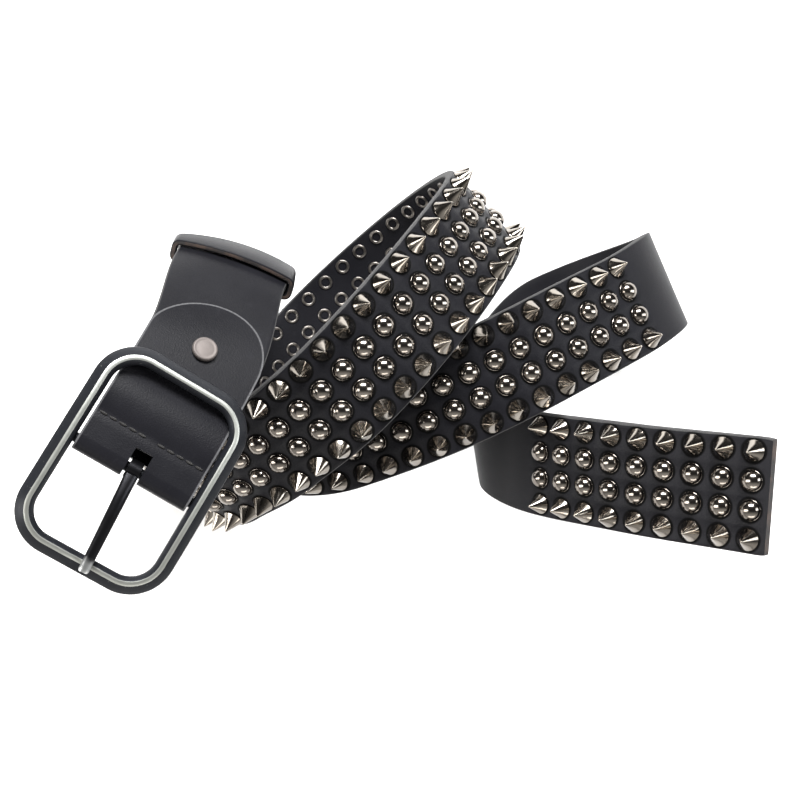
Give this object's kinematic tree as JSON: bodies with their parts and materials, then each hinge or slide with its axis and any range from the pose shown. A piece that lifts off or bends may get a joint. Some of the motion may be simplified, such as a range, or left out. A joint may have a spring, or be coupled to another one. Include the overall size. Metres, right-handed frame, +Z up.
{
  "type": "studded belt",
  "caption": "Leather waist belt with rows of cone and dome studs, loosely coiled, with a centre-bar buckle, keeper loop and riveted fold.",
  "frame": {"origin": "on the floor, below the middle of the whole coil's box", "axes": "+Z up; +X towards the belt's free end, with the buckle at -X"},
  "size_m": [0.2376, 0.148, 0.1694],
  "materials": {
    "strap_leather": "semi-matt black, creased at the bends",
    "black_metal": "black nickel, worn bright along the ridge",
    "rivet_metal": "satin, worn"
  },
  "bodies": {
    "strap": {"studded_strap": "strap_leather", "bar_fold": "strap_leather", "keeper": "strap_leather", "fold_rivet": "rivet_metal"},
    "buckle": {"buckle_frame": "black_metal"},
    "tongue": {"tongue": "black_metal"}
  },
  "joints": [
    {"name": "frame_swing", "type": "hinge", "parent": "strap", "child": "buckle", "pos_m": [-0.08392, -0.03634, 0.15803], "axis": [0.8363, -0.5143, -0.1903], "range_deg": [0, 40]},
    {"name": "tongue_swing", "type": "hinge", "parent": "buckle", "child": "tongue", "pos_m": [-0.08392, -0.03634, 0.15803], "axis": [-0.8363, 0.5143, 0.1903], "range_deg": [0, 95]}
  ]
}
